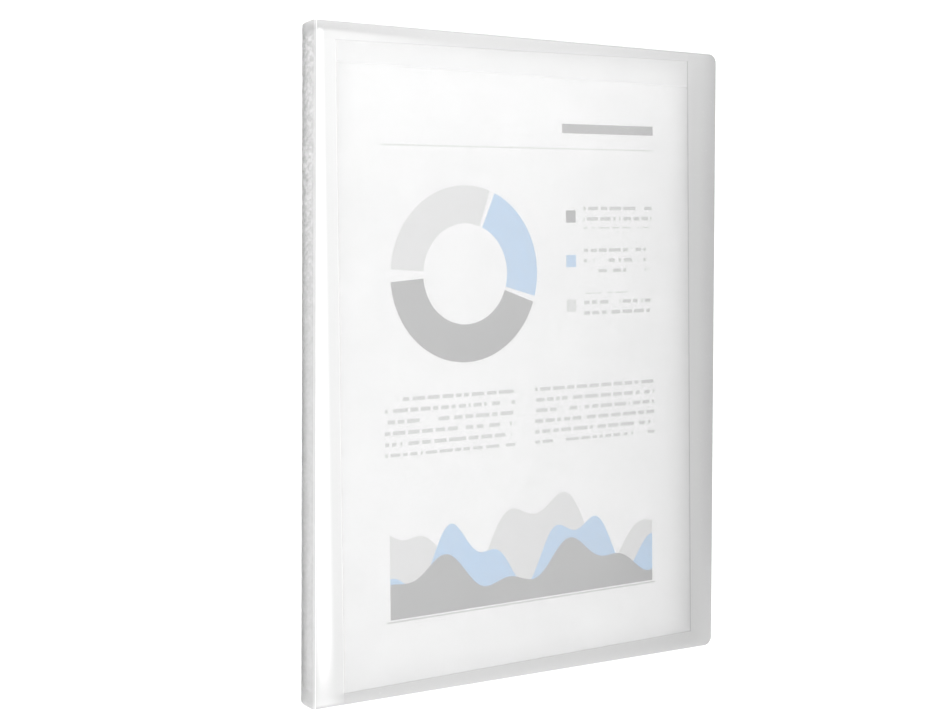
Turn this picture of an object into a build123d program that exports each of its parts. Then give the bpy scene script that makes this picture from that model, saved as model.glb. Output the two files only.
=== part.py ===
from build123d import *
import os
from math import cos, radians, sin, sqrt

# A clear pocket display book for A4 sheets, closed and lying on its back cover, in millimetres.
# +X runs from the spine to the fore edge, +Y from the foot of the pages to their head, +Z up through
# the thickness. The origin is under the middle of the book, on the surface that it lies on.

# The sheet that the pockets are made for, lying a little askew in its pocket
sheet_width = 210.0
sheet_height = 297.0
sheet_thickness = 0.1
sheet_tilt = 1.0

# Clear film pockets, open at the head
pocket_count = 20
film_thickness = 0.08
slot_clearance = 0.02
side_room = 1.9
foot_room = 0.4
head_room = 0.48
seam_width = 2.3
mouth_drop = 14.0
binding_tab = 4.6
page_gap = 0.23

# Frosted cover sheet with rounded fore-edge corners, standing out past the pockets
cover_wall = 0.7
fore_overhang = 9.25
foot_overhang = 2.2
head_overhang = 4.0
fore_corner_radius = 4.5

# Bowed spine and the two thinned creases beside it
spine_bow_radius = 18.0
front_fold_inside = 0.5
back_fold_inside = 1.1
crease_wall = 0.45

# Melted bar that fixes the pockets inside the spine
weld_depth = 1.7
weld_clearance = 0.1
weld_end_margin = 6.0
weld_corner_radius = 3.5
root_clearance = 0.1

# Box that the tilted sheet takes up, and the layers of one pocket
tilt = radians(sheet_tilt)
sheet_box_width = sheet_width * cos(tilt) + sheet_height * sin(tilt)
sheet_box_height = sheet_height * cos(tilt) + sheet_width * sin(tilt)
slot_depth = sheet_thickness + 2 * slot_clearance
pocket_thickness = 2 * film_thickness + slot_depth
pocket_pitch = pocket_thickness + page_gap
book_thickness = 2 * cover_wall + pocket_count * pocket_pitch

# Widths from the spine's outermost line to the fore edge
weld_reach = cover_wall + weld_clearance + weld_depth
root_reach = weld_reach + root_clearance
front_film_reach = root_reach + binding_tab
slot_reach = front_film_reach + seam_width
slot_width = sheet_box_width + 2 * side_room
pocket_reach = slot_reach + slot_width + seam_width
cover_width = pocket_reach + fore_overhang

# Heights from the foot of the cover to its head
slot_foot = foot_overhang + seam_width
sheet_foot = slot_foot + foot_room
pocket_head = sheet_foot + sheet_box_height + head_room
cover_height = pocket_head + head_overhang

# The same places in the book's own frame, where the origin is under the middle of the book
spine_x = -cover_width / 2
fore_x = cover_width / 2
foot_y = -cover_height / 2
weld_front_x = spine_x + weld_reach
root_x = spine_x + root_reach
front_film_x = spine_x + front_film_reach
slot_x = spine_x + slot_reach
slot_end_x = slot_x + slot_width
pocket_edge_x = spine_x + pocket_reach
pocket_foot_y = foot_y + foot_overhang
slot_foot_y = foot_y + slot_foot
pocket_head_y = foot_y + pocket_head
mouth_y = pocket_head_y - mouth_drop

# Cross-section of the spine as X and Z: a shallow bow, and a fold at each end that touches the bow
# and the flat of the cover
front_fold_radius = front_fold_inside + cover_wall
back_fold_radius = back_fold_inside + cover_wall
bow_centre = Vector(spine_x + spine_bow_radius, book_thickness / 2)
outward = Vector(-1, 0)
up = Vector(0, 1)
down = Vector(0, -1)


def fold_centre_x(fold_radius):
    """X of the centre of a fold that touches the bowed spine and a flat cover."""
    reach = spine_bow_radius - fold_radius
    rise = book_thickness / 2 - fold_radius
    return bow_centre.X - sqrt(reach**2 - rise**2)


front_fold = Vector(fold_centre_x(front_fold_radius), book_thickness - front_fold_radius)
back_fold = Vector(fold_centre_x(back_fold_radius), back_fold_radius)
front_turn = (front_fold - bow_centre).normalized()
back_turn = (back_fold - bow_centre).normalized()

# Each cover swings about the middle of its crease, on the outer skin
front_mid = (up + front_turn).normalized()
back_mid = (down + back_turn).normalized()
front_hinge = front_fold + front_mid * front_fold_radius
back_hinge = back_fold + back_mid * back_fold_radius


def pocket_base(number):
    """Height of the underside of a pocket, counted from the front cover."""
    return book_thickness - cover_wall - number * pocket_pitch + page_gap / 2


def page_hinge_height(number):
    """Height of the line on which a pocket turns, in the middle of its back film."""
    return pocket_base(number) + film_thickness / 2


def cover_panel(root, underside):
    """Flat cover panel from its crease to the fore edge, with rounded fore-edge corners."""
    with BuildPart() as panel:
        with BuildSketch(Plane.XY.offset(underside)) as outline:
            with Locations(((root + fore_x) / 2, 0)):
                Rectangle(fore_x - root, cover_height)
            fillet(outline.vertices().group_by(Axis.X)[-1], fore_corner_radius)
        extrude(amount=cover_wall)
    return panel.part


def crease(centre, fold_radius, flat_side, middle, turn):
    """Thinned strip that bends round a fold, from the flat of a cover to the spine."""
    inner_radius = fold_radius - crease_wall
    with BuildPart() as strip:
        with BuildSketch(Plane.XZ):
            with BuildLine():
                outer = ThreePointArc(
                    centre + flat_side * fold_radius,
                    centre + middle * fold_radius,
                    centre + turn * fold_radius,
                )
                inner = ThreePointArc(
                    centre + flat_side * inner_radius,
                    centre + middle * inner_radius,
                    centre + turn * inner_radius,
                )
                Line(outer @ 0, inner @ 0)
                Line(outer @ 1, inner @ 1)
            make_face()
        extrude(amount=cover_height / 2, both=True)
    return strip.part


def slab(x_low, x_high, y_low, y_high, underside, thickness):
    """Flat rectangle of film or seam between two X and two Y lines."""
    with BuildPart() as layer:
        with BuildSketch(Plane.XY.offset(underside)):
            with Locations(((x_low + x_high) / 2, (y_low + y_high) / 2)):
                Rectangle(x_high - x_low, y_high - y_low)
        extrude(amount=thickness)
    return layer.part


def film_pocket(number):
    """One pocket: a back film that runs into the spine, a front film, and the seams that join them."""
    base = pocket_base(number)
    slot = base + film_thickness
    back_film = slab(root_x, pocket_edge_x, pocket_foot_y, pocket_head_y, base, film_thickness)
    binding_seam = slab(front_film_x, slot_x, pocket_foot_y, mouth_y, slot, slot_depth)
    foot_seam = slab(slot_x, slot_end_x, pocket_foot_y, slot_foot_y, slot, slot_depth)
    fore_seam = slab(slot_end_x, pocket_edge_x, pocket_foot_y, mouth_y, slot, slot_depth)
    front_film = slab(
        front_film_x, pocket_edge_x, pocket_foot_y, mouth_y, slot + slot_depth, film_thickness
    )
    return Compound(children=[back_film, binding_seam, foot_seam, fore_seam, front_film])


def keep(piece, name):
    """Label a finished piece and write it out under its own name."""
    piece.label = name
    export_step(piece, f"parts/{name}.step")


os.makedirs("parts", exist_ok=True)

# Front and back covers
keep(cover_panel(front_fold.X, book_thickness - cover_wall), "front_cover")
keep(cover_panel(back_fold.X, 0), "back_cover")

# Creases
keep(crease(front_fold, front_fold_radius, up, front_mid, front_turn), "front_crease")
keep(crease(back_fold, back_fold_radius, down, back_mid, back_turn), "back_crease")

# Spine
with BuildPart() as spine:
    spine_inside_radius = spine_bow_radius - cover_wall
    with BuildSketch(Plane.XZ):
        with BuildLine():
            spine_outside = ThreePointArc(
                bow_centre + front_turn * spine_bow_radius,
                bow_centre + outward * spine_bow_radius,
                bow_centre + back_turn * spine_bow_radius,
            )
            spine_inside = ThreePointArc(
                bow_centre + front_turn * spine_inside_radius,
                bow_centre + outward * spine_inside_radius,
                bow_centre + back_turn * spine_inside_radius,
            )
            Line(spine_outside @ 0, spine_inside @ 0)
            Line(spine_outside @ 1, spine_inside @ 1)
        make_face()
    extrude(amount=cover_height / 2, both=True)
keep(spine.part, "spine")

# Weld bar: it follows the inside of the spine and of the folds, and its ends are rounded
weld_inset = cover_wall + weld_clearance
weld_length = cover_height - 2 * weld_end_margin
weld_height = book_thickness - 2 * weld_inset
with BuildPart() as binding_weld:
    front_round = front_fold_radius - weld_inset
    back_round = back_fold_radius - weld_inset
    weld_bow_radius = spine_bow_radius - weld_inset
    with BuildSketch(Plane.XZ):
        with BuildLine():
            front_arc = ThreePointArc(
                front_fold + up * front_round,
                front_fold + front_mid * front_round,
                front_fold + front_turn * front_round,
            )
            bow_arc = ThreePointArc(
                front_arc @ 1,
                bow_centre + outward * weld_bow_radius,
                bow_centre + back_turn * weld_bow_radius,
            )
            back_arc = ThreePointArc(
                bow_arc @ 1,
                back_fold + back_mid * back_round,
                back_fold + down * back_round,
            )
            Polyline(
                back_arc @ 1,
                (weld_front_x, weld_inset),
                (weld_front_x, book_thickness - weld_inset),
                front_arc @ 0,
            )
        make_face()
    extrude(amount=weld_length / 2, both=True)
    with BuildSketch(Plane.YZ.offset(spine_x)):
        with Locations((0, book_thickness / 2)):
            RectangleRounded(weld_length, weld_height, weld_corner_radius)
    extrude(amount=weld_reach, mode=Mode.INTERSECT)
keep(binding_weld.part, "binding_weld")

# Pockets, numbered from the front cover
for pocket_number in range(1, pocket_count + 1):
    keep(film_pocket(pocket_number), f"pocket_{pocket_number:02d}")

# Printed sheet in the first pocket, standing on the foot seam by one corner
sheet_x = slot_x + slot_width / 2
sheet_y = foot_y + sheet_foot + sheet_box_height / 2
with BuildPart() as title_sheet:
    with BuildSketch(Plane.XY.offset(pocket_base(1) + film_thickness + slot_clearance)):
        with Locations((sheet_x, sheet_y)):
            Rectangle(sheet_width, sheet_height, rotation=sheet_tilt)
    extrude(amount=sheet_thickness)
keep(title_sheet.part, "title_sheet")

print(f"book {cover_width:.2f} x {cover_height:.2f} x {book_thickness:.2f} mm")
print(f"front cover hinge at X {front_hinge.X:.3f}, Z {front_hinge.Y:.3f}")
print(f"back cover hinge at X {back_hinge.X:.3f}, Z {back_hinge.Y:.3f}")
print(f"pockets turn at X {root_x:.3f}, Z {page_hinge_height(1):.3f} to {page_hinge_height(pocket_count):.3f}")
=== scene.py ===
"""Looks of a clear pocket display book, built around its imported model.

Everything is in metres in the model's own frame. The book lies closed on its back cover: +X runs from the
spine to the fore edge, +Y from the foot of the pages to their head, and +Z up through the thickness.
"""

import logging
import math
from collections.abc import Sequence
from dataclasses import dataclass
from enum import Enum

import bpy
import numpy as np
from mathutils import Euler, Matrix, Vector


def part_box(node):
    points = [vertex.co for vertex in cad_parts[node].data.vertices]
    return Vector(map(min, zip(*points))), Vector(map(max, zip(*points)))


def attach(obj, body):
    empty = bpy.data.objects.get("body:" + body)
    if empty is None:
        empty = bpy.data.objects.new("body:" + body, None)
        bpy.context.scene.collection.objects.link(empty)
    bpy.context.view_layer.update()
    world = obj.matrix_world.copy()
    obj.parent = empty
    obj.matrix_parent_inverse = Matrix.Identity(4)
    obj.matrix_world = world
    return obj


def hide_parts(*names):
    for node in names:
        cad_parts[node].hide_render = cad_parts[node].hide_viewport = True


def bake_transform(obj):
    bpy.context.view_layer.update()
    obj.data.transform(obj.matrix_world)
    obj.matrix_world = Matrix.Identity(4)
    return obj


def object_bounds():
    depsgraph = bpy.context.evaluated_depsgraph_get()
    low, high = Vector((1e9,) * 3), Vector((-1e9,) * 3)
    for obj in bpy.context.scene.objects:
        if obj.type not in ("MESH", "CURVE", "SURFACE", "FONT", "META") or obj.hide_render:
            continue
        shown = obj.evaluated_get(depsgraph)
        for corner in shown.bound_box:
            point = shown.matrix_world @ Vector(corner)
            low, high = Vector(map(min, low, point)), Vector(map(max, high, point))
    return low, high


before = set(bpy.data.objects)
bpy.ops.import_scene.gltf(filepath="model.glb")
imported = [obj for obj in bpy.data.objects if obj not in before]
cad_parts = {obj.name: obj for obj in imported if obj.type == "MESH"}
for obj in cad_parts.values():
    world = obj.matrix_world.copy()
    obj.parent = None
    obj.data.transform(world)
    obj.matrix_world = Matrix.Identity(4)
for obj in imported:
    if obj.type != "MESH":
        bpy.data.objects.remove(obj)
CAD_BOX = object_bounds()

LOG = logging.getLogger("display_book")
MM = 0.001
SHARP_EDGE = math.radians(40)
IMAGE_WIDTH = 950
IMAGE_HEIGHT = 724

MATH = "ShaderNodeMath"
NOISE = "ShaderNodeTexNoise"
MAP_RANGE = "ShaderNodeMapRange"
SEPARATE = "ShaderNodeSeparateXYZ"
NOISE_LOW = 0.3
NOISE_HIGH = 0.7
MIX = "ShaderNodeMix"
MIX_SHADER = "ShaderNodeMixShader"
PRINCIPLED = "ShaderNodeBsdfPrincipled"
OUTPUT = "ShaderNodeOutputMaterial"
MIX_COLOUR_A = 6
MIX_COLOUR_B = 7
MIX_COLOUR_OUT = 2


def linear(hex_code: str) -> tuple[float, float, float, float]:
    """Turns an sRGB colour into the linear one that shaders take.

    Args:
        hex_code: The colour as "#rrggbb".

    Returns:
        Red, green, blue and a full alpha, linear.
    """
    shares = [int(hex_code[i : i + 2], 16) / 255 for i in (1, 3, 5)]
    red, green, blue = [s / 12.92 if s <= 0.04045 else ((s + 0.055) / 1.055) ** 2.4 for s in shares]
    return red, green, blue, 1.0


def add_node(
    tree: bpy.types.NodeTree, kind: str, inputs: dict | None = None, **settings: str
) -> bpy.types.Node:
    """Adds a node with its settings and links.

    Args:
        tree: The tree that gets the node.
        kind: Blender's name for the kind of node.
        inputs: Values, sockets or nodes (for their first output) by the input's name or number.
        **settings: The node's own properties.

    Returns:
        The new node.
    """
    node = tree.nodes.new(kind)
    for name, value in settings.items():
        setattr(node, name, value)
    for key, value in (inputs or {}).items():
        source = value.outputs[0] if isinstance(value, bpy.types.Node) else value
        if isinstance(source, bpy.types.NodeSocket):
            tree.links.new(source, node.inputs[key])
        else:
            node.inputs[key].default_value = source
    return node


def soft_steps(tree: bpy.types.NodeTree, *steps: tuple) -> bpy.types.Node:
    """Multiplies soft steps into one mask.

    Args:
        tree: The material's tree.
        *steps: For each step what it runs along, where it starts, where it reaches 1, and its level before.

    Returns:
        The node whose output is the mask.
    """
    mask = None
    for place, start, whole, level in steps:
        span = {"Value": place, "From Min": start, "From Max": whole, "To Min": level}
        step = add_node(tree, MAP_RANGE, span, interpolation_type="SMOOTHSTEP")
        mask = add_node(tree, MATH, {0: mask, 1: step}, operation="MULTIPLY") if mask else step
    return mask


def empty_material(name: str) -> bpy.types.Material:
    """Makes a material whose node tree is still empty.

    Args:
        name: The material's name.

    Returns:
        The new material.
    """
    material = bpy.data.materials.new(name)
    material.use_nodes = True
    material.node_tree.nodes.clear()
    return material


def closed_sheets(name: str, skins: Sequence[tuple[np.ndarray, np.ndarray]]) -> bpy.types.Object:
    """Makes one mesh of closed thin bodies, each lying between two grids of points.

    Args:
        name: The object's name.
        skins: For each body its outer and inner grid, as rows by columns by XYZ. Seen from outside the
            outer grid's columns run to the right where its rows run up.

    Returns:
        The new object, smooth on its skins and sharp along its rims.
    """
    points: list[np.ndarray] = []
    faces: list[np.ndarray] = []
    start = 0
    for outer, inner in skins:
        rows, columns, _ = outer.shape
        grid = np.arange(rows * columns).reshape(rows, columns) + start
        count = grid.size
        quads = np.stack([grid[:-1, :-1], grid[:-1, 1:], grid[1:, 1:], grid[1:, :-1]], -1).reshape(-1, 4)
        rim = np.concatenate([grid[0, :-1], grid[:-1, -1], grid[-1, :0:-1], grid[:0:-1, 0]])
        onward = np.roll(rim, -1)
        walls = np.stack([onward, rim, rim + count, onward + count], -1)
        points += [outer.reshape(-1, 3), inner.reshape(-1, 3)]
        faces += [quads, quads[:, ::-1] + count, walls]
        start += 2 * count
    mesh = bpy.data.meshes.new(name)
    mesh.from_pydata(np.concatenate(points).tolist(), [], np.concatenate(faces).tolist())
    mesh.validate()
    mesh.shade_smooth()
    mesh.set_sharp_from_angle(angle=SHARP_EDGE)
    made = bpy.data.objects.new(name, mesh)
    bpy.context.scene.collection.objects.link(made)
    return made


def dress_rigid(made: bpy.types.Object, finish: bpy.types.Material, node: str) -> None:
    """Dresses an object that takes a node's place and rides on the body of the same name.

    Args:
        made: The object.
        finish: Its material.
        node: The node, and the body that it rides on.
    """
    made.data.materials.append(finish)
    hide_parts(node)
    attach(made, node)


def smooth_step(share: np.ndarray) -> np.ndarray:
    """Eases a share from 0 to 1."""
    held = np.clip(share, 0.0, 1.0)
    return held * held * (3 - 2 * held)


class Side(Enum):
    """The two covers, by the way that their outer faces look along Z."""

    FRONT = 1.0
    BACK = -1.0

    @property
    def cover(self) -> str:
        """Name of the cover's node and body."""
        return f"{self.name.lower()}_cover"

    @property
    def crease(self) -> str:
        """Name of the node of the crease beside the cover."""
        return f"{self.name.lower()}_crease"


class Axis(Enum):
    """The frame's axes, by their places in a split vector."""

    X = 0
    Y = 1
    Z = 2


class Ink(Enum):
    """Printing inks on the sheet, palest first, because a darker one prints over a paler one."""

    PALE_GREY = "#cfcfcf"
    TEXT_GREY = "#b4b4b4"
    SKY_BLUE = "#74b4e2"
    CHARCOAL = "#464646"


@dataclass(frozen=True)
class EdgeStrip:
    """A denser strip along an edge of a frosted sheet: painted shade, and painted light where its grey is
    paler.
    """

    axis: Axis
    start: float
    whole: float
    opacity: float
    shade: str
    lean: float = 0.0
    onset: tuple[float, float] | None = None

    def mask(self, tree: bpy.types.NodeTree, texture: bpy.types.Node) -> bpy.types.Node:
        """Adds the nodes that give 0 before the strip and 1 in it.

        Args:
            tree: The material's tree.
            texture: The node with the surface's coordinates.

        Returns:
            The node whose output is the mask.
        """
        axes = add_node(tree, SEPARATE, {0: texture.outputs["Object"]})
        along = axes.outputs[Axis.X.value if self.axis is Axis.Y else Axis.Y.value]
        across = axes.outputs[self.axis.value]
        place = add_node(tree, MATH, {0: along, 1: self.lean, 2: across}, operation="MULTIPLY_ADD")
        steps = [(place, self.start, self.whole, 0.0)]
        if self.onset:
            steps.append((along, *self.onset, 0.0))
        return soft_steps(tree, *steps)


@dataclass(frozen=True)
class WhitenedHighlightBand:
    """The strip beside a crease, whitened by bending and by a painted highlight, wider towards the foot."""

    crease_x: float
    foot_y: float
    head_y: float
    head_width: float = 2.7 * MM
    foot_width: float = 7.8 * MM
    softness: float = 0.42
    onset: float = 0.45
    onset_level: float = 0.3
    foot_fade: float = 34 * MM
    foot_level: float = 0.1
    head_fade: float = 6 * MM
    head_level: float = 0.15
    opacity: float = 0.72
    shade: str = "#ffffff"

    def mask(self, tree: bpy.types.NodeTree, texture: bpy.types.Node) -> bpy.types.Node:
        """Adds the nodes that give 1 in the band and 0 away from it.

        Args:
            tree: The material's tree.
            texture: The node with the surface's coordinates.

        Returns:
            The node whose output is the mask.
        """
        axes = add_node(tree, SEPARATE, {0: texture.outputs["Object"]})
        upward = axes.outputs["Y"]
        widths = {
            "Value": upward,
            "From Min": self.foot_y,
            "From Max": self.head_y,
            "To Min": self.foot_width,
            "To Max": self.head_width,
        }
        width = add_node(tree, MAP_RANGE, widths)
        away = add_node(tree, MATH, {0: axes.outputs["X"], 1: self.crease_x}, operation="SUBTRACT")
        across = add_node(tree, MATH, {0: away, 1: width}, operation="DIVIDE")
        return soft_steps(
            tree,
            (across, 1 + self.softness, 1 - self.softness, 0.0),
            (across, 0.0, self.onset, self.onset_level),
            (upward, self.foot_y, self.foot_y + self.foot_fade, self.foot_level),
            (upward, self.head_y, self.head_y - self.head_fade, self.head_level),
        )


@dataclass(frozen=True)
class WeldMottle:
    """Pale blotches where the spine has melted onto the weld behind it, fainter towards the foot."""

    head_y: float
    full_y: float = 110 * MM
    faint_y: float = -20 * MM
    faint_level: float = 0.2
    softness: float = 2.0 * MM
    blotch: float = 2.4 * MM
    blotch_low: float = 0.38
    blotch_high: float = 0.66
    opacity: float = 0.42
    shade: str = "#dcdcdc"

    def mask(self, tree: bpy.types.NodeTree, texture: bpy.types.Node) -> bpy.types.Node:
        """Adds the nodes that give 1 on the blotches and 0 between them and above the weld.

        Args:
            tree: The material's tree.
            texture: The node with the surface's coordinates.

        Returns:
            The node whose output is the mask.
        """
        place = texture.outputs["Object"]
        upward = add_node(tree, SEPARATE, {0: place}).outputs["Y"]
        spots = add_node(tree, NOISE, {"Vector": place, "Scale": 1 / self.blotch, "Detail": 1.0})
        return soft_steps(
            tree,
            (spots, self.blotch_low, self.blotch_high, 0.0),
            (upward, self.head_y, self.head_y - self.softness, 0.0),
            (upward, self.faint_y, self.full_y, self.faint_level),
        )


@dataclass(frozen=True)
class CutEdge:
    """The die-cut edge of a flat sheet, painted denser and darker than its faces as painted shade."""

    opacity: float = 0.7
    shade: str = "#7c7c7c"
    level: float = 0.9
    upright: float = 0.6

    def mask(self, tree: bpy.types.NodeTree, texture: bpy.types.Node) -> bpy.types.Node:
        """Adds the nodes that give 1 where the surface stands upright.

        Args:
            tree: The material's tree.
            texture: The node with the surface's coordinates.

        Returns:
            The node whose output is the mask.
        """
        rise = add_node(tree, SEPARATE, {0: texture.outputs["Normal"]}).outputs["Z"]
        flat = add_node(tree, MATH, {0: rise}, operation="ABSOLUTE")
        return soft_steps(tree, (flat, self.level, self.upright, 0.0))


@dataclass(frozen=True)
class FrostedPolypropylene:
    """Extruded polypropylene sheet with a matt-embossed face.

    Its haze lays a grey-white veil over what is behind it, and what lies against it still shows through.
    """

    name: str
    veil: str = "#d0d0d0"
    tint: str = "#f8f8f8"
    opacity: float = 0.30
    glow: float = 0.20
    roughness: float = 0.25
    roughness_swing: float = 0.07
    refraction: float = 1.49
    # The emboss is too fine to show at this size, so its grain is drawn coarser
    grain: float = 1.1 * MM
    grain_depth: float = 0.012 * MM
    cloud: float = 38 * MM
    cloud_share: float = 0.03
    marks: tuple[EdgeStrip | WhitenedHighlightBand | WeldMottle | CutEdge, ...] = ()

    def material(self) -> bpy.types.Material:
        """Builds the material: a clear share and a frosted one that reflects and passes light.

        Returns:
            The new material.
        """
        made = empty_material(self.name)
        tree = made.node_tree
        texture = add_node(tree, "ShaderNodeTexCoord")
        place = texture.outputs["Object"]
        clouds = add_node(tree, NOISE, {"Vector": place, "Scale": 1 / self.cloud, "Detail": 2.0})
        grain = add_node(tree, NOISE, {"Vector": place, "Scale": 1 / self.grain, "Detail": 3.0})
        relief = add_node(tree, "ShaderNodeBump", {"Distance": self.grain_depth, "Height": grain})
        span = {
            "Value": grain,
            "To Min": self.roughness - self.roughness_swing,
            "To Max": self.roughness + self.roughness_swing,
        }
        rough = add_node(tree, MAP_RANGE, span)
        span = {
            "Value": clouds,
            "From Min": NOISE_LOW,
            "From Max": NOISE_HIGH,
            "To Min": self.opacity - self.cloud_share / 2,
            "To Max": self.opacity + self.cloud_share / 2,
        }
        share = add_node(tree, MAP_RANGE, span)
        colour = linear(self.veil)
        for mark in self.marks:
            mask = mark.mask(tree, texture)
            share = add_node(tree, MAP_RANGE, {"Value": mask, "To Min": share, "To Max": mark.opacity})
            both = {0: mask, MIX_COLOUR_A: colour, MIX_COLOUR_B: linear(mark.shade)}
            colour = add_node(tree, MIX, both, data_type="RGBA").outputs[MIX_COLOUR_OUT]
        skin = {"Base Color": colour, "Roughness": rough, "IOR": self.refraction, "Normal": relief}
        frosted = add_node(tree, PRINCIPLED, skin)
        glow = add_node(tree, "ShaderNodeBsdfTranslucent", {"Color": colour, "Normal": relief})
        haze = add_node(tree, MIX_SHADER, {0: self.glow, 1: frosted, 2: glow})
        clear = add_node(tree, "ShaderNodeBsdfTransparent", {"Color": linear(self.tint)})
        surface = add_node(tree, MIX_SHADER, {0: share, 1: clear, 2: haze})
        add_node(tree, OUTPUT, {"Surface": surface})
        return made


@dataclass(frozen=True)
class MeltedPolypropylene:
    """Polypropylene melted and pressed into one mass: milky, mottled, with the sheen of cooled plastic."""

    name: str = "melted_polypropylene"
    milk: str = "#f4f4f4"
    shade: str = "#c4c4c4"
    mottle: float = 2.6 * MM
    mottle_depth: float = 0.08 * MM
    blotch_low: float = 0.35
    blotch_high: float = 0.65
    glow: float = 0.15
    roughness: float = 0.36
    refraction: float = 1.49

    def material(self) -> bpy.types.Material:
        """Builds the material: milk and shade in blotches, lit through a little.

        Returns:
            The new material.
        """
        made = empty_material(self.name)
        tree = made.node_tree
        place = add_node(tree, "ShaderNodeTexCoord").outputs["Object"]
        blotch = add_node(tree, NOISE, {"Vector": place, "Scale": 1 / self.mottle, "Detail": 2.0})
        span = {"Value": blotch, "From Min": self.blotch_low, "From Max": self.blotch_high}
        depth = add_node(tree, MAP_RANGE, span)
        both = {0: depth, MIX_COLOUR_A: linear(self.shade), MIX_COLOUR_B: linear(self.milk)}
        colour = add_node(tree, MIX, both, data_type="RGBA").outputs[MIX_COLOUR_OUT]
        relief = add_node(tree, "ShaderNodeBump", {"Distance": self.mottle_depth, "Height": blotch})
        skin = {"Base Color": colour, "Roughness": self.roughness, "IOR": self.refraction, "Normal": relief}
        body = add_node(tree, PRINCIPLED, skin)
        glow = add_node(tree, "ShaderNodeBsdfTranslucent", {"Color": colour})
        surface = add_node(tree, MIX_SHADER, {0: self.glow, 1: body, 2: glow})
        add_node(tree, OUTPUT, {"Surface": surface})
        return made


@dataclass(frozen=True)
class ClearFilm:
    """Cast polypropylene film: glossy and clear, with faint haze and a slack that makes its shine waver."""

    binding_x: float
    fore_x: float
    foot_y: float
    mouth_y: float
    head_y: float
    name: str = "clear_polypropylene_film"
    tint: str = "#ffffff"
    haze: str = "#f6f6f6"
    haze_share: float = 0.012
    binding_haze: float = 0.06
    binding_fade: float = 7 * MM
    rim_haze: float = 0.14
    mouth_haze: float = 0.06
    mouth_line: float = 0.4 * MM
    mirror: float = 0.012
    slant_mirror: float = 0.2
    slant_power: float = 5.0
    roughness: float = 0.18
    seam_roughness: float = 0.5
    seam_softness: float = 0.6 * MM
    slack: float = 46 * MM
    slack_depth: float = 0.22 * MM

    def material(self) -> bpy.types.Material:
        """Builds the material: clear, more mirrored at a slant, hazy at the binding and dull on its seams.

        Returns:
            The new material.
        """
        made = empty_material(self.name)
        tree = made.node_tree
        place = add_node(tree, "ShaderNodeTexCoord").outputs["Object"]
        axes = add_node(tree, SEPARATE, {0: place})
        waves = add_node(tree, NOISE, {"Vector": place, "Scale": 1 / self.slack, "Detail": 1.0})
        relief = add_node(tree, "ShaderNodeBump", {"Distance": self.slack_depth, "Height": waves})
        binding, fore, foot, head = [
            soft_steps(tree, (axes.outputs[axis.value], start, whole, 0.0))
            for axis, start, whole in (
                (Axis.X, self.binding_x + self.binding_fade, self.binding_x),
                (Axis.X, self.fore_x - self.seam_softness, self.fore_x),
                (Axis.Y, self.foot_y + self.seam_softness, self.foot_y),
                (Axis.Y, self.head_y - self.seam_softness, self.head_y),
            )
        ]
        seams = add_node(tree, MATH, {0: fore, 1: foot}, operation="MAXIMUM")
        rims = add_node(tree, MATH, {0: seams, 1: head}, operation="MAXIMUM")
        line = {0: axes.outputs["Y"], 1: self.mouth_y, 2: self.mouth_line}
        mouth = add_node(tree, MATH, line, operation="COMPARE")
        span = {"Value": seams, "To Min": self.roughness, "To Max": self.seam_roughness}
        rough = add_node(tree, MAP_RANGE, span)
        cloudy = self.haze_share
        for mask, share in ((binding, self.binding_haze), (rims, self.rim_haze), (mouth, self.mouth_haze)):
            cloudy = add_node(tree, MAP_RANGE, {"Value": mask, "To Min": cloudy, "To Max": share})
        clear = add_node(tree, "ShaderNodeBsdfTransparent", {"Color": linear(self.tint)})
        shine = add_node(tree, "ShaderNodeBsdfGlossy", {"Roughness": rough, "Normal": relief})
        slant = add_node(tree, "ShaderNodeLayerWeight").outputs["Facing"]
        steep = add_node(tree, MATH, {0: slant, 1: self.slant_power}, operation="POWER")
        span = {"Value": steep, "To Min": self.mirror, "To Max": self.slant_mirror}
        mirrored = add_node(tree, MAP_RANGE, span)
        glossy = add_node(tree, MIX_SHADER, {0: mirrored, 1: clear, 2: shine})
        milky = add_node(tree, "ShaderNodeBsdfDiffuse", {"Color": linear(self.haze)})
        surface = add_node(tree, MIX_SHADER, {0: cloudy, 1: glossy, 2: milky})
        add_node(tree, OUTPUT, {"Surface": surface})
        return made


@dataclass(frozen=True)
class PrintedBlock:
    """A filled rectangle of ink, in millimetres from the sheet's lower left corner."""

    ink: Ink
    left: float
    bottom: float
    width: float
    height: float

    def mask(self, tree: bpy.types.NodeTree, page: bpy.types.Node) -> bpy.types.Node:
        """Adds the nodes that give 1 inside the rectangle.

        Args:
            tree: The material's tree.
            page: The node with the places on the page.

        Returns:
            The node whose output is the mask.
        """
        within = []
        for axis, start, size in (("X", self.left, self.width), ("Y", self.bottom, self.height)):
            span = {0: page.outputs[axis], 1: start + size / 2, 2: size / 2}
            within.append(add_node(tree, MATH, span, operation="COMPARE"))
        return add_node(tree, MATH, dict(enumerate(within)), operation="MULTIPLY")


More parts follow.
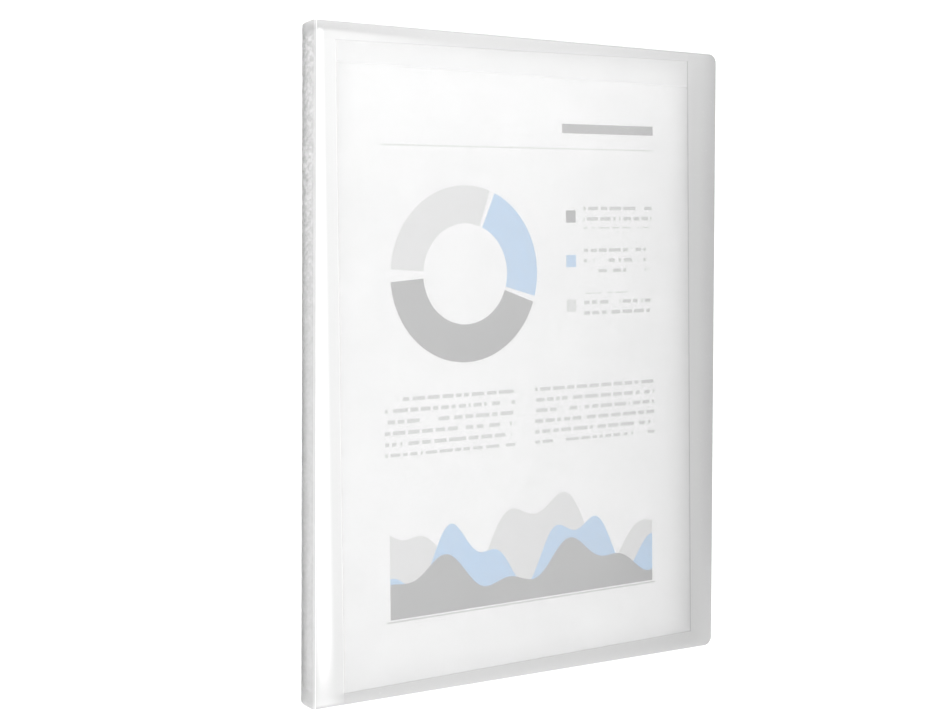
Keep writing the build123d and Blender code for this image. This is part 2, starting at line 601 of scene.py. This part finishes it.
@dataclass(frozen=True)
class PrintedLines(PrintedBlock):
    """A paragraph set as plain dashes: rows of word-long strokes, coarser than type so that they show."""

    pitch: float = 5.2
    stroke: float = 1.8
    word: float = 7.5
    row_shift: float = 7.3
    word_gap: float = 0.09

    def mask(self, tree: bpy.types.NodeTree, page: bpy.types.Node) -> bpy.types.Node:
        """Adds the nodes that give 1 on the strokes inside the paragraph.

        Args:
            tree: The material's tree.
            page: The node with the places on the page.

        Returns:
            The node whose output is the mask.
        """
        block = super().mask(tree, page)
        row = add_node(tree, MATH, {0: page.outputs["Y"], 1: self.pitch}, operation="DIVIDE")
        within = add_node(tree, MATH, {0: row}, operation="FRACT")
        middle = {0: within, 1: 0.5, 2: self.stroke / self.pitch / 2}
        inked = add_node(tree, MATH, middle, operation="COMPARE")
        number = add_node(tree, MATH, {0: row}, operation="FLOOR")
        spread = add_node(tree, "ShaderNodeCombineXYZ", {0: page.outputs["X"], 1: number})
        steps = (1 / self.word, self.row_shift, 0)
        cells = add_node(tree, "ShaderNodeVectorMath", {0: spread, 1: steps}, operation="MULTIPLY")
        flat_edges = {"voronoi_dimensions": "2D", "feature": "DISTANCE_TO_EDGE"}
        words = add_node(tree, "ShaderNodeTexVoronoi", {"Vector": cells, "Scale": 1.0}, **flat_edges)
        apart = add_node(tree, MATH, {0: words, 1: self.word_gap}, operation="GREATER_THAN")
        strokes = add_node(tree, MATH, {0: inked, 1: apart}, operation="MULTIPLY")
        return add_node(tree, MATH, {0: block, 1: strokes}, operation="MULTIPLY")


@dataclass(frozen=True)
class PrintedRing:
    """A slice of a ring, in millimetres and degrees."""

    ink: Ink
    centre_x: float
    centre_y: float
    inner: float
    outer: float
    start: float
    end: float

    def mask(self, tree: bpy.types.NodeTree, page: bpy.types.Node) -> bpy.types.Node:
        """Adds the nodes that give 1 inside the slice.

        Args:
            tree: The material's tree.
            page: The node with the places on the page.

        Returns:
            The node whose output is the mask.
        """
        right = add_node(tree, MATH, {0: page.outputs["X"], 1: self.centre_x}, operation="SUBTRACT")
        up = add_node(tree, MATH, {0: page.outputs["Y"], 1: self.centre_y}, operation="SUBTRACT")
        arm = add_node(tree, "ShaderNodeCombineXYZ", {0: right, 1: up})
        reach = add_node(tree, "ShaderNodeVectorMath", {0: arm}, operation="LENGTH").outputs["Value"]
        round_way = add_node(tree, MATH, {0: up, 1: right}, operation="ARCTAN2")
        middle = math.radians(self.start + self.end) / 2
        opening = math.radians(self.end - self.start) / 2
        width = {0: reach, 1: (self.inner + self.outer) / 2, 2: (self.outer - self.inner) / 2}
        band = add_node(tree, MATH, width, operation="COMPARE")
        slice_ = add_node(tree, MATH, {0: round_way, 1: middle, 2: opening}, operation="COMPARE")
        return add_node(tree, MATH, {0: band, 1: slice_}, operation="MULTIPLY")


@dataclass(frozen=True)
class PrintedHills(PrintedBlock):
    """An area chart: ink up to a rolling line inside a rectangle."""

    wave: float
    phase: float
    middle: float = 0.55
    swings: tuple[tuple[float, float], ...] = ((0.26, 1.0), (0.13, 0.43))

    def mask(self, tree: bpy.types.NodeTree, page: bpy.types.Node) -> bpy.types.Node:
        """Adds the nodes that give 1 below the rolling line.

        Args:
            tree: The material's tree.
            page: The node with the places on the page.

        Returns:
            The node whose output is the mask.
        """
        block = super().mask(tree, page)
        line = self.bottom + self.middle * self.height
        for share, stretch in self.swings:
            phase = {0: page.outputs["X"], 1: 2 * math.pi / (self.wave * stretch), 2: self.phase}
            turn = add_node(tree, MATH, phase, operation="MULTIPLY_ADD")
            swing = add_node(tree, MATH, {0: turn}, operation="SINE")
            rise = {0: swing, 1: share * self.height, 2: line}
            line = add_node(tree, MATH, rise, operation="MULTIPLY_ADD")
        below = add_node(tree, MATH, {0: page.outputs["Y"], 1: line}, operation="LESS_THAN")
        return add_node(tree, MATH, {0: block, 1: below}, operation="MULTIPLY")


PAGE_LAYOUT: tuple[PrintedBlock | PrintedRing, ...] = (
    PrintedBlock(Ink.CHARCOAL, 128, 258, 58, 4.6),
    PrintedBlock(Ink.PALE_GREY, 24, 250, 162, 0.7),
    PrintedRing(Ink.CHARCOAL, 70, 190, 24, 42, -176, -20),
    PrintedRing(Ink.SKY_BLUE, 70, 190, 24, 42, -16, 66),
    PrintedRing(Ink.PALE_GREY, 70, 190, 24, 42, 70, 176),
    PrintedBlock(Ink.CHARCOAL, 130, 214, 6, 6),
    PrintedLines(Ink.TEXT_GREY, 141, 211, 44, 12),
    PrintedBlock(Ink.SKY_BLUE, 130, 192, 6, 6),
    PrintedLines(Ink.TEXT_GREY, 141, 189, 40, 12),
    PrintedBlock(Ink.PALE_GREY, 130, 170, 6, 6),
    PrintedLines(Ink.TEXT_GREY, 141, 167, 45, 12),
    PrintedLines(Ink.TEXT_GREY, 24, 106, 74, 28),
    PrintedLines(Ink.TEXT_GREY, 110, 106, 76, 28),
    PrintedHills(Ink.PALE_GREY, 26, 30, 158, 62, wave=96.0, phase=0.4),
    PrintedHills(Ink.SKY_BLUE, 26, 30, 158, 46, wave=71.0, phase=2.1),
    PrintedHills(Ink.CHARCOAL, 26, 30, 158, 30, wave=83.0, phase=3.9),
    PrintedBlock(Ink.TEXT_GREY, 24, 28.6, 162, 0.8),
)


@dataclass(frozen=True)
class OfficePaper:
    """Uncoated office paper: a bright white matt sheet, cloudy with its fibres, printed on its front."""

    corner: tuple[float, float, float]
    tilt: float
    name: str = "uncoated_office_paper"
    white: str = "#f6f6f6"
    fibre_white: str = "#eeeeee"
    # Single fibres are too fine to show, so the clouds that they make are drawn instead
    fibre: float = 3.0 * MM
    fibre_depth: float = 0.01 * MM
    roughness: float = 0.85
    gloss: float = 0.3
    show_through: float = 0.06
    layout: tuple[PrintedBlock | PrintedRing, ...] = PAGE_LAYOUT

    def material(self) -> bpy.types.Material:
        """Builds the material: the paper's white, then each ink over the last.

        Returns:
            The new material.
        """
        made = empty_material(self.name)
        tree = made.node_tree
        texture = add_node(tree, "ShaderNodeTexCoord")
        place = texture.outputs["Object"]
        facing = add_node(tree, SEPARATE, {0: texture.outputs["Normal"]}).outputs["Z"]
        span = {"Value": facing, "From Min": -1.0, "From Max": 1.0, "To Min": self.show_through}
        front = add_node(tree, MAP_RANGE, span)
        laid = {"Location": self.corner, "Rotation": (0, 0, self.tilt), "Scale": (MM, MM, MM)}
        page_place = add_node(tree, "ShaderNodeMapping", {"Vector": place, **laid}, vector_type="TEXTURE")
        page = add_node(tree, SEPARATE, {0: page_place})
        fibres = add_node(tree, NOISE, {"Vector": place, "Scale": 1 / self.fibre, "Detail": 4.0})
        both = {0: fibres, MIX_COLOUR_A: linear(self.white), MIX_COLOUR_B: linear(self.fibre_white)}
        colour = add_node(tree, MIX, both, data_type="RGBA").outputs[MIX_COLOUR_OUT]
        for ink in Ink:
            printed = None
            for shape in self.layout:
                if shape.ink is ink:
                    mask = shape.mask(tree, page)
                    either = {0: printed, 1: mask}
                    printed = add_node(tree, MATH, either, operation="MAXIMUM") if printed else mask
            seen = add_node(tree, MATH, {0: printed, 1: front}, operation="MULTIPLY")
            both = {0: seen, MIX_COLOUR_A: colour, MIX_COLOUR_B: linear(ink.value)}
            colour = add_node(tree, MIX, both, data_type="RGBA").outputs[MIX_COLOUR_OUT]
        relief = add_node(tree, "ShaderNodeBump", {"Distance": self.fibre_depth, "Height": fibres})
        matt = {"Roughness": self.roughness, "Specular IOR Level": self.gloss}
        surface = add_node(tree, PRINCIPLED, {"Base Color": colour, "Normal": relief, **matt})
        add_node(tree, OUTPUT, {"Surface": surface})
        return made


@dataclass
class CrossSection:
    """The book's section across its spine, as X and Z: a shallow bow with a fold at each end."""

    bow_radius: float = 18.0 * MM
    front_fold_radius: float = 1.2 * MM
    back_fold_radius: float = 1.8 * MM
    crease_wall: float = 0.45 * MM
    back_trim: float = 1.3 * MM

    def __post_init__(self) -> None:
        """Reads the spine's outermost line, the thickness and the wall from the model."""
        low, high = CAD_BOX
        cover_low, cover_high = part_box(Side.FRONT.cover)
        self.wall = cover_high.z - cover_low.z
        self.thickness = high.z - low.z
        self.bow_centre = np.array([low.x + self.bow_radius, (low.z + high.z) / 2])
        self.foot = low.y
        self.head = high.y

    def fold_radius(self, side: Side) -> float:
        """Outer radius of the fold beside a cover."""
        return self.front_fold_radius if side is Side.FRONT else self.back_fold_radius

    def fold_centre(self, side: Side) -> np.ndarray:
        """Finds the centre of the fold beside a cover.

        Args:
            side: The cover.

        Returns:
            Its X and Z.
        """
        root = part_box(side.cover)[0].x
        rise = side.value * (self.thickness / 2 - self.fold_radius(side))
        return np.array([root, self.bow_centre[1] + rise])

    def turn(self, side: Side) -> float:
        """Angle, from +X towards +Z, at which the bow passes into the fold."""
        reach, rise = self.fold_centre(side) - self.bow_centre
        return math.atan2(rise, reach) % (2 * math.pi)

    def arc(self, centre: np.ndarray, radius: np.ndarray, angles: np.ndarray, ys: np.ndarray) -> np.ndarray:
        """Sweeps an arc along the book.

        Args:
            centre: X and Z of the arc's centre.
            radius: The radius at each row and angle, or one radius for all.
            angles: The angles that its columns stand at.
            ys: The places of its points along Y, rows by columns, or rows by one column.

        Returns:
            A grid of points, rows by columns by XYZ.
        """
        shape = (len(ys), len(angles))
        radii = np.broadcast_to(radius, shape)
        x = centre[0] + radii * np.cos(angles)
        z = centre[1] + radii * np.sin(angles)
        return np.stack([x, np.broadcast_to(ys, shape), z], -1)

    def rows(self, count: int, trim: np.ndarray | float = 0.0) -> np.ndarray:
        """Places of rows along Y from the foot to the head, as rows by columns.

        Args:
            count: How many rows there are.
            trim: How far each column is cut back at both ends.

        Returns:
            The grid of places.
        """
        half = (self.head - self.foot) / 2 - np.atleast_1d(trim)
        return (self.head + self.foot) / 2 + np.linspace(-1, 1, count)[:, None] * half


@dataclass
class CoverPanel:
    """One cover: a flat frosted sheet with rounded fore corners and softened edges."""

    section: CrossSection
    side: Side
    corner_radius: float = 4.5 * MM
    edge_softness: float = 0.15 * MM
    edge_segments: int = 2
    trim_reach: float = 4.0 * MM
    strip_softness: float = 0.15 * MM
    fore_overlap: float = 0.6 * MM
    row_count: int = 25
    crease_columns: int = 7
    flat_columns: int = 30
    corner_columns: int = 13

    def finish(self) -> FrostedPolypropylene:
        """Frosted sheet, painted shade past the printed sheet, and at the front crease whitening with a
        painted highlight.

        Returns:
            The finish, with its strips from the first laid to the last.
        """
        low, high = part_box(self.side.cover)
        sheet = TitleSheet()
        lean = math.tan(sheet.tilt)
        left = sheet.upright_edge(-1)
        fore = sheet.upright_edge(1)
        # The painted strips start over the sheet's edge, so that no dark slit shows beside it at a slant
        haze = fore - self.fore_overlap
        foot = sheet.level_edge(-1)
        head = sheet.level_edge(1)
        soft = self.strip_softness
        near_crease = (low.x + 22 * MM, low.x + 8 * MM)
        past_crease = (low.x + 6 * MM, low.x + 18 * MM)
        far_half = (low.x + 10 * MM, low.x + 110 * MM)
        near_half = (low.x + 130 * MM, low.x + 50 * MM)
        below_head = (high.y - 8 * MM, high.y - 45 * MM)
        above_foot = (low.y - 20 * MM, low.y + 100 * MM)
        marks = [
            # Painted shade: over the sheet the cover greys softly towards the fore edge and the head
            EdgeStrip(Axis.X, fore - 20 * MM, fore + 8 * MM, 0.30, "#b4b4b4"),
            EdgeStrip(Axis.Y, high.y - 14 * MM, high.y - 3 * MM, 0.30, "#c4c4c4", onset=far_half),
            # The gaps all round the sheet, hazier away from the crease: painted light where paler than the
            # sheet, painted shade where darker
            EdgeStrip(Axis.X, left + soft, left, 0.54, "#dddddd", lean=lean),
            EdgeStrip(Axis.Y, head - soft, head, 0.56, "#d8d8d8", lean=-lean),
            EdgeStrip(Axis.Y, head - soft, head, 0.64, "#bebebe", lean=-lean, onset=far_half),
            EdgeStrip(Axis.X, haze - soft, haze, 0.60, "#c0c0c0", lean=lean),
        ]
        if self.side is Side.FRONT:
            # Beside the front crease: plastic whitened by bending, partly a painted highlight
            marks.append(WhitenedHighlightBand(crease_x=low.x, foot_y=low.y, head_y=high.y))
        marks += [
            # Painted shade: the head beside the crease, and a thin dark line along the rest of its edge
            EdgeStrip(
                Axis.Y, high.y - 7.8 * MM, high.y - 5.2 * MM, 0.74, "#b6b6b6", lean=0.02, onset=near_half
            ),
            EdgeStrip(Axis.Y, high.y - 0.8 * MM, high.y - 0.4 * MM, 0.8, "#a6a6a6", onset=far_half),
            # Painted shade: the foot, with a thin dark line along its edge beside the crease
            EdgeStrip(Axis.Y, foot + soft, foot, 0.74, "#b8b8b8", lean=-lean, onset=past_crease),
            EdgeStrip(Axis.Y, low.y + 1.8 * MM, low.y + 0.3 * MM, 0.7, "#b4b4b4", onset=near_crease),
            # Painted shade: the fore edge, darker step by step
            EdgeStrip(Axis.X, haze - soft, haze, 0.74, "#b8b8b8", lean=lean, onset=below_head),
            EdgeStrip(Axis.X, fore + 3 * MM, high.x, 0.76, "#a0a0a0", onset=above_foot),
            # Painted shade on the upright cut edges
            CutEdge(),
        ]
        return FrostedPolypropylene(f"frosted_polypropylene_{self.side.name.lower()}", marks=tuple(marks))

    def columns(self) -> np.ndarray:
        """Spaces the mesh's columns, closer together at the crease and round the corners.

        Returns:
            Their places along X.
        """
        low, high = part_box(self.side.cover)
        corner = high.x - self.corner_radius
        start = np.linspace(low.x, low.x + self.trim_reach, self.crease_columns)[:-1]
        flat = np.linspace(low.x + self.trim_reach, corner, self.flat_columns)
        turn = np.linspace(0, math.pi / 2, self.corner_columns)[1:]
        return np.concatenate([start, flat, corner + self.corner_radius * np.sin(turn)])

    def build(self) -> bpy.types.Object:
        """Builds the sheet between its two faces.

        Returns:
            The new object, not yet dressed.
        """
        low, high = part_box(self.side.cover)
        xs = self.columns()
        past = np.clip(xs - (high.x - self.corner_radius), 0, self.corner_radius)
        drawn_in = self.corner_radius - np.sqrt(self.corner_radius**2 - past**2)
        if self.side is Side.BACK:
            drawn_in += self.section.back_trim * smooth_step(1 - (xs - low.x) / self.trim_reach)
        y = self.section.rows(self.row_count, drawn_in)
        x = np.broadcast_to(xs, y.shape)
        upper = np.stack([x, y, np.full_like(y, high.z)], -1)
        lower = np.stack([x, y, np.full_like(y, low.z)], -1)
        made = closed_sheets(f"{self.side.name.lower()}_cover_sheet", [(upper, lower)])
        soft = made.modifiers.new("softened_edge", "BEVEL")
        soft.width = self.edge_softness
        soft.segments = self.edge_segments
        soft.limit_method = "ANGLE"
        soft.angle_limit = SHARP_EDGE
        return made

    def dress(self, made: bpy.types.Object, finish: bpy.types.Material) -> None:
        """Gives the sheet its finish and its body."""
        dress_rigid(made, finish, self.side.cover)


@dataclass
class BowedSpine:
    """The spine strip: bowed outwards, with the dimples that the welding tool pressed into it."""

    section: CrossSection
    dimple_pitch: float = 3.2 * MM
    dimple_radius: float = 1.1 * MM
    dimple_depth: float = 0.30 * MM
    foot_share: float = 0.25
    deepen_from: float = -50 * MM
    deepen_to: float = 70 * MM
    spacing: float = 0.5 * MM

    def finish(self) -> FrostedPolypropylene:
        """Frosted sheet, denser and greyer than the covers, with painted shade towards the back fold and at
        its head.

        Returns:
            The finish.
        """
        low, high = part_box("spine")
        _, weld_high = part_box("binding_weld")
        marks = (
            # Painted shade, darker towards the back fold
            EdgeStrip(Axis.Z, low.z + 8.0 * MM, low.z + 0.5 * MM, 0.5, "#b2b2b2"),
            WeldMottle(head_y=weld_high.y),
            # Painted shade at the head past the weld, and at the foot a denser grey over the dark pocket
            # past the weld
            EdgeStrip(Axis.Y, high.y - 6.5 * MM, high.y - 4.5 * MM, 0.5, "#bebebe"),
            EdgeStrip(Axis.Y, low.y + 10 * MM, low.y + 5 * MM, 0.62, "#bcbcbc"),
        )
        return FrostedPolypropylene(name="pressed_polypropylene", veil="#cecece", opacity=0.38, marks=marks)

    def build(self) -> bpy.types.Object:
        """Builds the strip, its dimples pressed into the outer face and its ends cut back to the back fold.

        Returns:
            The new object, not yet dressed.
        """
        section = self.section
        front = section.turn(Side.FRONT)
        back = section.turn(Side.BACK)
        length = section.head - section.foot
        angles = np.linspace(back, front, round((back - front) * section.bow_radius / self.spacing) + 1)
        trim = section.back_trim * (angles - front) / (back - front)
        ys = section.rows(round(length / self.spacing) + 1, trim)
        outer = section.arc(section.bow_centre, section.bow_radius - self.dimples(angles, ys), angles, ys)
        inner = section.arc(section.bow_centre, section.bow_radius - section.wall, angles, ys)
        return closed_sheets("bowed_spine", [(outer, inner)])

    def dimples(self, angles: np.ndarray, ys: np.ndarray) -> np.ndarray:
        """Presses dimples in staggered rows, deeper towards the head.

        Args:
            angles: The angles of the strip's columns on the bow.
            ys: The places of its points along Y, rows by columns.

        Returns:
            The depth at each row and column.
        """
        section = self.section
        across = (angles - math.pi) * section.bow_radius
        row_step = self.dimple_pitch * math.sqrt(3) / 2
        row = np.round(across / row_step)
        shift = np.where(row % 2 == 0, 0.0, 0.5)
        lane = np.round(ys / self.dimple_pitch - shift)
        away = np.hypot(ys - (lane + shift) * self.dimple_pitch, across - row * row_step)
        height = smooth_step(1 - away / self.dimple_radius)
        rise = smooth_step((ys - self.deepen_from) / (self.deepen_to - self.deepen_from))
        headward = self.foot_share + (1 - self.foot_share) * rise
        weld_low, weld_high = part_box("binding_weld")
        inside = (ys > weld_low.y) & (ys < weld_high.y)
        return self.dimple_depth * height * headward * inside

    def dress(self, made: bpy.types.Object, finish: bpy.types.Material) -> None:
        """Gives the strip its finish and its body."""
        dress_rigid(made, finish, "spine")


@dataclass
class FoldedCrease:
    """The thinned strip that bends between the spine and a cover."""

    section: CrossSection
    side: Side
    column_count: int = 13
    row_count: int = 63

    def finish(self) -> FrostedPolypropylene:
        """Thinned sheet, with a painted highlight on the front fold and painted shade in the rounder back
        fold.

        Returns:
            The finish.
        """
        low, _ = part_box(self.side.cover)
        if self.side is Side.BACK:
            # The back fold is a dark sheet of painted shade
            return FrostedPolypropylene(name="shaded_thinned_polypropylene", veil="#969696", opacity=0.6)
        # A painted highlight along the front fold's edge beside the cover
        line = EdgeStrip(Axis.X, low.x - 0.42 * MM, low.x - 0.22 * MM, 0.7, "#ffffff")
        return FrostedPolypropylene(name="folded_polypropylene", veil="#d8d8d8", opacity=0.5, marks=(line,))

    def build(self) -> bpy.types.Object:
        """Builds the strip round its fold.

        Returns:
            The new object, not yet dressed.
        """
        section = self.section
        centre = section.fold_centre(self.side)
        radius = section.fold_radius(self.side)
        flat = math.pi / 2 if self.side is Side.FRONT else 3 * math.pi / 2
        bow = section.turn(self.side)
        first, last = (bow, flat) if self.side is Side.FRONT else (flat, bow)
        angles = np.linspace(first, last, self.column_count)
        ys = section.rows(self.row_count, section.back_trim if self.side is Side.BACK else 0.0)
        outer = section.arc(centre, radius, angles, ys)
        inner = section.arc(centre, radius - section.crease_wall, angles, ys)
        return closed_sheets(f"{self.side.name.lower()}_fold_strip", [(outer, inner)])

    def dress(self, made: bpy.types.Object, finish: bpy.types.Material) -> None:
        """Gives the strip its finish and puts it in place of its node.

        Args:
            made: The object that build made.
            finish: Its material.
        """
        section = self.section
        centre = section.fold_centre(self.side)
        radius = section.fold_radius(self.side)
        bow = section.turn(self.side)
        made.data.materials.append(finish)
        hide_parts(self.side.crease)
        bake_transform(made)


@dataclass
class FilmPocket:
    """One page: a back film that runs into the spine, and a front film sealed to it along three edges."""

    number: int
    film: float = 0.08 * MM
    tab: float = 4.6 * MM
    seam: float = 2.3 * MM
    mouth_drop: float = 14.0 * MM
    ripple: float = 0.03 * MM
    ripple_lengths: tuple[float, ...] = (52 * MM, 83 * MM, 127 * MM)
    ripple_onset: float = 20 * MM
    ease: float = 0.32 * MM
    spacing: float = 11.0 * MM

    @property
    def node(self) -> str:
        """Name of the pocket's node and body."""
        return f"pocket_{self.number:02d}"

    def finish(self) -> ClearFilm:
        """Film with the seams of this pocket, which lie in the same place on every page.

        Returns:
            The finish.
        """
        low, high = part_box(self.node)
        return ClearFilm(
            binding_x=low.x + self.tab + self.seam,
            fore_x=high.x - self.seam,
            foot_y=low.y + self.seam,
            mouth_y=high.y - self.mouth_drop,
            head_y=high.y - self.seam,
        )

    def lines(self, start: float, end: float, seams: Sequence[float]) -> np.ndarray:
        """Spaces grid lines across a film, with a line at each edge of a seam.

        Args:
            start: The first line.
            end: The last line.
            seams: The edges between them, in order.

        Returns:
            The places of all lines.
        """
        stops = [start, *seams, end]
        runs = []
        for first, last in zip(stops, stops[1:]):
            steps = max(1, round((last - first) / self.spacing))
            runs.append(np.linspace(first, last, steps + 1)[:-1])
        return np.concatenate([*runs, [end]])

    def build(self) -> bpy.types.Object:
        """Builds the two films as closed sheets, the front one pressed down along its seams.

        Returns:
            The new object, not yet dressed.
        """
        low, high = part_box(self.node)
        front = low.x + self.tab
        mouth = high.y - self.mouth_drop
        slot_low = front + self.seam
        slot_high = high.x - self.seam
        slot_foot = low.y + self.seam
        back_x = self.lines(low.x, high.x, [front, slot_low, slot_high])
        back_y = self.lines(low.y, high.y, [slot_foot, mouth])
        eased_x = [slot_low, slot_low + self.ease, slot_high - self.ease, slot_high]
        front_x = self.lines(front, high.x, eased_x)
        front_y = self.lines(low.y, mouth, [slot_foot, slot_foot + self.ease])
        films = []
        for xs, ys, base, lift, outward in (
            (front_x, front_y, low.z + self.film, high.z - low.z - 2 * self.film, 1),
            (back_x, back_y, low.z, 0.0, -1),
        ):
            x, y = np.meshgrid(xs, ys)
            from_seam = np.minimum(np.minimum(x - slot_low, slot_high - x), y - slot_foot)
            z = base + lift * smooth_step(from_seam / self.ease) + outward * self.ripples(x, y, from_seam)
            films.append((np.stack([x, y, z + self.film], -1), np.stack([x, y, z], -1)))
        return closed_sheets(f"film_{self.node}", films)

    def ripples(self, x: np.ndarray, y: np.ndarray, from_seam: np.ndarray) -> np.ndarray:
        """Lets the film's slack stand off the slot, dying out at the seams.

        Args:
            x: The points' places along X.
            y: Their places along Y.
            from_seam: Their distance inside the nearest seam.

        Returns:
            The height at each point.
        """
        chance = np.random.default_rng(self.number)
        height = np.ones_like(x)
        for length in self.ripple_lengths:
            heading = chance.uniform(0, math.pi)
            along = x * math.cos(heading) + y * math.sin(heading)
            height += np.sin(2 * math.pi * (along / length + chance.uniform())) / len(self.ripple_lengths)
        return self.ripple * height * smooth_step(from_seam / self.ripple_onset)

    def dress(self, made: bpy.types.Object, finish: bpy.types.Material) -> None:
        """Gives the pocket its finish and its body."""
        dress_rigid(made, finish, self.node)


@dataclass
class TitleSheet:
    """The printed sheet in the first pocket, lying a little askew."""

    width: float = 210 * MM
    height: float = 297 * MM
    tilt: float = math.radians(1.0)

    def centre(self) -> Vector:
        """Middle of the sheet."""
        low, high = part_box("title_sheet")
        return (low + high) / 2

    def upright_edge(self, way: int) -> float:
        """X at which the line of the sheet's left (-1) or right (1) edge crosses the frame's X axis."""
        middle = self.centre()
        return middle.x + way * self.width / 2 / math.cos(self.tilt) + middle.y * math.tan(self.tilt)

    def level_edge(self, way: int) -> float:
        """Y at which the line of the sheet's foot (-1) or head (1) crosses the frame's Y axis."""
        middle = self.centre()
        return middle.y + way * self.height / 2 / math.cos(self.tilt) - middle.x * math.tan(self.tilt)

    def finish(self) -> OfficePaper:
        """Paper whose print starts at the sheet's own lower left corner.

        Returns:
            The finish.
        """
        right = Vector((math.cos(self.tilt), math.sin(self.tilt), 0.0))
        up = Vector((-math.sin(self.tilt), math.cos(self.tilt), 0.0))
        corner = self.centre() - right * self.width / 2 - up * self.height / 2
        return OfficePaper(corner=tuple(corner), tilt=self.tilt)


@dataclass(frozen=True)
class Softbox:
    """A lamp with a soft white face, which either lights the book or shows only in its shine."""

    name: str
    place: tuple[float, float, float]
    aim: tuple[float, float, float]
    width: float
    height: float
    power: float
    shine_only: bool = False

    def hang(self) -> None:
        """Hangs the lamp and turns it to what it lights."""
        lamp = bpy.data.lights.new(self.name, "AREA")
        lamp.shape = "RECTANGLE"
        lamp.size = self.width
        lamp.size_y = self.height
        lamp.energy = self.power
        hung = bpy.data.objects.new(self.name, lamp)
        hung.location = self.place
        hung.visible_diffuse = not self.shine_only
        hung.visible_glossy = self.shine_only
        hung.rotation_euler = (Vector(self.aim) - Vector(self.place)).to_track_quat("-Z", "Y").to_euler()
        bpy.context.scene.collection.objects.link(hung)


@dataclass
class Studio:
    """A white studio: a pale floor, an even surround and softboxes."""

    floor_reach: float = 8.0
    floor_gap: float = 0.1 * MM
    floor_depth: float = 1.0 * MM
    white: str = "#fafafa"
    roughness: float = 0.9
    surround: float = 0.4
    see_through_layers: int = 200

    def board(self) -> bpy.types.Material:
        """Matt white painted board, which shows soft shadows and no shine.

        Returns:
            The new material.
        """
        made = empty_material("white_painted_board")
        skin = {"Base Color": linear(self.white), "Roughness": self.roughness, "Specular IOR Level": 0.0}
        paint = add_node(made.node_tree, PRINCIPLED, skin)
        add_node(made.node_tree, OUTPUT, {"Surface": paint})
        return made

    def build(self) -> None:
        """Lays the floor, lights the surround and hangs the lamps."""
        ends = np.array([-self.floor_reach, self.floor_reach])
        x, y = np.meshgrid(ends, ends)
        top = np.stack([x, y, np.full_like(x, -self.floor_gap)], -1)
        floor = closed_sheets("studio_floor", [(top, top - np.array([0, 0, self.floor_depth]))])
        floor.data.materials.append(self.board())
        world = bpy.data.worlds.new("white_surround")
        world.use_nodes = True
        world.node_tree.nodes.clear()
        glow = {"Color": linear("#ffffff"), "Strength": self.surround}
        light = add_node(world.node_tree, "ShaderNodeBackground", glow)
        add_node(world.node_tree, "ShaderNodeOutputWorld", {"Surface": light})
        scene = bpy.context.scene
        scene.world = world
        scene.view_settings.view_transform = "Standard"
        scene.cycles.transparent_max_bounces = self.see_through_layers
        for box in (
            Softbox("key_softbox", (-0.45, 0.07, 1.10), (-0.1, 0.03, 0.0), 0.25, 0.4, 13.6),
            Softbox("side_softbox", (-0.90, 0.0, 0.35), (-0.12, 0.0, 0.0), 0.3, 0.3, 3.8),
            Softbox("foot_softbox", (0.90, -0.75, 0.20), (0.0, 0.0, 0.0), 0.5, 0.2, 7.0),
            Softbox("fore_softbox", (0.90, 0.75, 0.20), (0.0, 0.0, 0.0), 0.5, 0.2, 7.0),
            Softbox("sheen_softbox", (0.46, -0.07, 0.72), (0.46, -0.07, 0), 0.5, 0.66, 9.6, shine_only=True),
            Softbox("head_softbox", (0.50, 0.25, 0.72), (0.50, 0.25, 0), 0.5, 0.16, 2.4, shine_only=True),
        ):
            box.hang()


@dataclass(frozen=True)
class ViewingCamera:
    """A camera that looks at the closed book from above its spine."""

    place: tuple[float, float, float] = (-501.4 * MM, 52.4 * MM, 697.2 * MM)
    pitch: float = -1.637
    yaw: float = -34.413
    roll: float = 0.254
    focal_pixels: float = 1746.2
    axis_row: float = 300.0
    sensor: float = 36.0
    near_clip: float = 10 * MM

    def set_up(self) -> None:
        """Makes the camera and hands it to the scene."""
        lens = bpy.data.cameras.new("viewing_camera")
        lens.sensor_width = self.sensor
        lens.lens = self.focal_pixels * self.sensor / IMAGE_WIDTH
        lens.shift_y = (self.axis_row - IMAGE_HEIGHT / 2) / IMAGE_WIDTH
        lens.clip_start = self.near_clip
        camera = bpy.data.objects.new("viewing_camera", lens)
        camera.location = self.place
        camera.rotation_mode = "ZXY"
        turn = [math.radians(angle) for angle in (self.pitch, self.yaw, self.roll)]
        camera.rotation_euler = Euler(turn, "ZXY")
        bpy.context.scene.collection.objects.link(camera)
        bpy.context.scene.camera = camera


def report(made: bpy.types.Object) -> None:
    """Logs a finished piece."""
    LOG.info("%s: %d faces", made.name, len(made.data.polygons))


def main() -> None:
    """Builds and dresses the book, then lights it and sets up the camera."""
    logging.basicConfig(level=logging.INFO, format="%(name)s: %(message)s")
    section = CrossSection()
    cover = [
        CoverPanel(section, Side.FRONT),
        CoverPanel(section, Side.BACK),
        BowedSpine(section),
        FoldedCrease(section, Side.FRONT),
        FoldedCrease(section, Side.BACK),
    ]
    pieces = [(piece, piece.finish().material()) for piece in cover]
    film = FilmPocket(1).finish().material()
    pockets = sum(name.startswith("pocket_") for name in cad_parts)
    pieces += [(FilmPocket(number), film) for number in range(1, pockets + 1)]
    for piece, finish in pieces:
        made = piece.build()
        piece.dress(made, finish)
        report(made)
    kept = {"title_sheet": TitleSheet().finish(), "binding_weld": MeltedPolypropylene()}
    for name, finish in kept.items():
        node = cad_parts[name]
        node.data.materials.clear()
        node.data.materials.append(finish.material())
        report(node)
    Studio().build()
    ViewingCamera().set_up()


if __name__ == "__main__":
    main()
